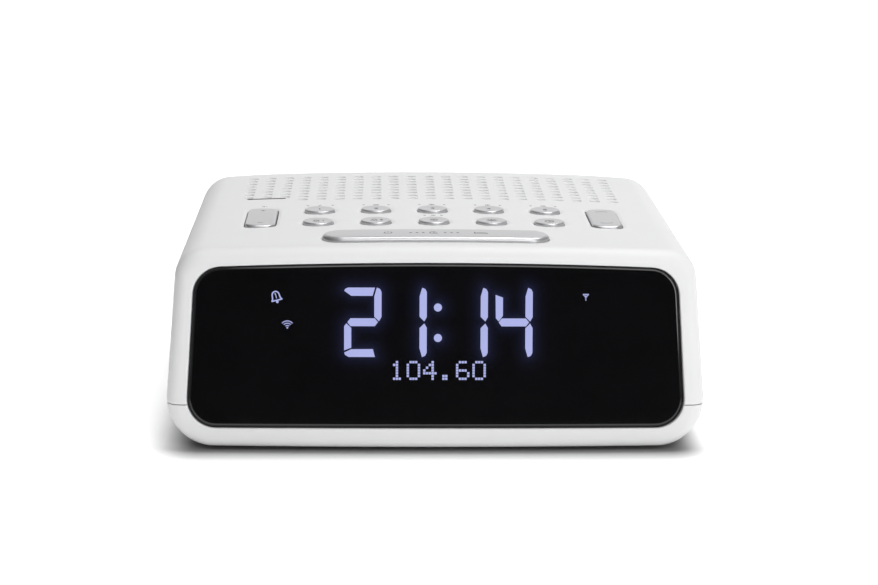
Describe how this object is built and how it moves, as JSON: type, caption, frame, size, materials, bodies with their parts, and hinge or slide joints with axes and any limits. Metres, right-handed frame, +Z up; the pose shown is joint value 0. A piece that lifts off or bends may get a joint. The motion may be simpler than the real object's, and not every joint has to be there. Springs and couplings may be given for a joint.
{
  "type": "bedside clock radio",
  "caption": "White bedside clock radio with a dark bowed display window, silver top keys, a dimpled speaker grille and a leaning front.",
  "frame": {"origin": "On the table under the middle of the case's bounding box, at the bottom of the feet.", "axes": "+X runs across the front to the right as seen from the front, +Y runs from the front to the rear, +Z is up."},
  "size_m": [0.1604, 0.1368, 0.0622],
  "materials": {
    "case_white": "fine spark-eroded texture, satin white",
    "window_black": "polished smoked black, bevelled edge",
    "carrier_plastic": "plain moulded white",
    "lcd_glass": "dark glass panel",
    "guide_clear": "clear light guide",
    "circuit_board": "green solder mask",
    "key_silver": "fine silver lacquer, satin",
    "steel": "zinc-plated fastener",
    "switch_black": "moulded black switch body",
    "speaker_metal": "black-coated pressed steel",
    "magnet_ferrite": "ground ferrite with a steel plate",
    "cone_paper": "pressed black paper",
    "rubber_black": "soft black rubber",
    "foam_black": "closed-cell foam",
    "scrim_cloth": "fine black acoustic cloth",
    "socket_black": "moulded black socket",
    "shield_tin": "tin-plated shield",
    "chip_black": "black epoxy package",
    "capacitor_sleeve": "shrink-sleeved can",
    "connector_cream": "cream nylon header",
    "ribbon_grey": "flat grey cable",
    "lead_red": "insulated wire",
    "label_paper": "blank silver-grey label"
  },
  "bodies": {
    "case": {"top_housing": "case_white", "bottom_housing": "case_white", "display_window": "window_black", "display_carrier": "carrier_plastic", "lcd_panel": "lcd_glass", "backlight_guide": "guide_clear", "display_board": "circuit_board", "key_board": "circuit_board", "main_board": "circuit_board", "volume_rocker_pin": "steel", "tuning_rocker_pin": "steel", "tact_switches": "switch_black", "speaker_basket": "speaker_metal", "speaker_magnet": "magnet_ferrite", "speaker_cone": "cone_paper", "speaker_surround": "rubber_black", "speaker_dust_cap": "cone_paper", "speaker_gasket": "foam_black", "grille_scrim": "scrim_cloth", "speaker_screws": "steel", "power_inlet": "socket_black", "headphone_socket": "socket_black", "aerial_gland": "rubber_black", "tuner_shield": "shield_tin", "processor_chips": "chip_black", "filter_capacitors": "capacitor_sleeve", "board_connectors": "connector_cream", "display_ribbon": "ribbon_grey", "key_ribbon": "ribbon_grey", "speaker_leads": "lead_red", "front_left_foot": "rubber_black", "front_right_foot": "rubber_black", "rear_left_foot": "rubber_black", "rear_right_foot": "rubber_black", "case_screws": "steel", "key_board_screws": "steel", "main_board_screws": "steel", "display_screws": "steel", "rating_label": "label_paper"},
    "preset_key_1": {"preset_key_1": "key_silver"},
    "preset_key_2": {"preset_key_2": "key_silver"},
    "preset_key_3": {"preset_key_3": "key_silver"},
    "preset_key_4": {"preset_key_4": "key_silver"},
    "preset_key_5": {"preset_key_5": "key_silver"},
    "alarm_key_1": {"alarm_key_1": "key_silver"},
    "alarm_key_2": {"alarm_key_2": "key_silver"},
    "select_key": {"select_key": "key_silver"},
    "brightness_key": {"brightness_key": "key_silver"},
    "clock_key": {"clock_key": "key_silver"},
    "snooze_bar": {"snooze_bar": "key_silver"},
    "volume_rocker": {"volume_rocker": "key_silver"},
    "tuning_rocker": {"tuning_rocker": "key_silver"}
  },
  "joints": [
    {"name": "preset_key_1_press", "type": "slide", "parent": "case", "child": "preset_key_1", "axis": [0, 0, -1], "range_m": [0, 0.0005], "stiffness_N_per_m": 1200},
    {"name": "preset_key_2_press", "type": "slide", "parent": "case", "child": "preset_key_2", "axis": [0, 0, -1], "range_m": [0, 0.0005], "stiffness_N_per_m": 1200},
    {"name": "preset_key_3_press", "type": "slide", "parent": "case", "child": "preset_key_3", "axis": [0, 0, -1], "range_m": [0, 0.0005], "stiffness_N_per_m": 1200},
    {"name": "preset_key_4_press", "type": "slide", "parent": "case", "child": "preset_key_4", "axis": [0, 0, -1], "range_m": [0, 0.0005], "stiffness_N_per_m": 1200},
    {"name": "preset_key_5_press", "type": "slide", "parent": "case", "child": "preset_key_5", "axis": [0, 0, -1], "range_m": [0, 0.0005], "stiffness_N_per_m": 1200},
    {"name": "alarm_key_1_press", "type": "slide", "parent": "case", "child": "alarm_key_1", "axis": [0, 0, -1], "range_m": [0, 0.0005], "stiffness_N_per_m": 1200},
    {"name": "alarm_key_2_press", "type": "slide", "parent": "case", "child": "alarm_key_2", "axis": [0, 0, -1], "range_m": [0, 0.0005], "stiffness_N_per_m": 1200},
    {"name": "select_key_press", "type": "slide", "parent": "case", "child": "select_key", "axis": [0, 0, -1], "range_m": [0, 0.0005], "stiffness_N_per_m": 1200},
    {"name": "brightness_key_press", "type": "slide", "parent": "case", "child": "brightness_key", "axis": [0, 0, -1], "range_m": [0, 0.0005], "stiffness_N_per_m": 1200},
    {"name": "clock_key_press", "type": "slide", "parent": "case", "child": "clock_key", "axis": [0, 0, -1], "range_m": [0, 0.0005], "stiffness_N_per_m": 1200},
    {"name": "snooze_bar_press", "type": "slide", "parent": "case", "child": "snooze_bar", "axis": [0, 0, -1], "range_m": [0, 0.0005], "stiffness_N_per_m": 1500},
    {"name": "volume_rocker_tilt", "type": "hinge", "parent": "case", "child": "volume_rocker", "pos_m": [-0.054, -0.0133, 0.0556], "axis": [1, 0, 0], "range_deg": [-2.2, 2.2], "stiffness_Nm_per_rad": 0.06},
    {"name": "tuning_rocker_tilt", "type": "hinge", "parent": "case", "child": "tuning_rocker", "pos_m": [0.054, -0.0133, 0.0556], "axis": [1, 0, 0], "range_deg": [-2.2, 2.2], "stiffness_Nm_per_rad": 0.06}
  ]
}
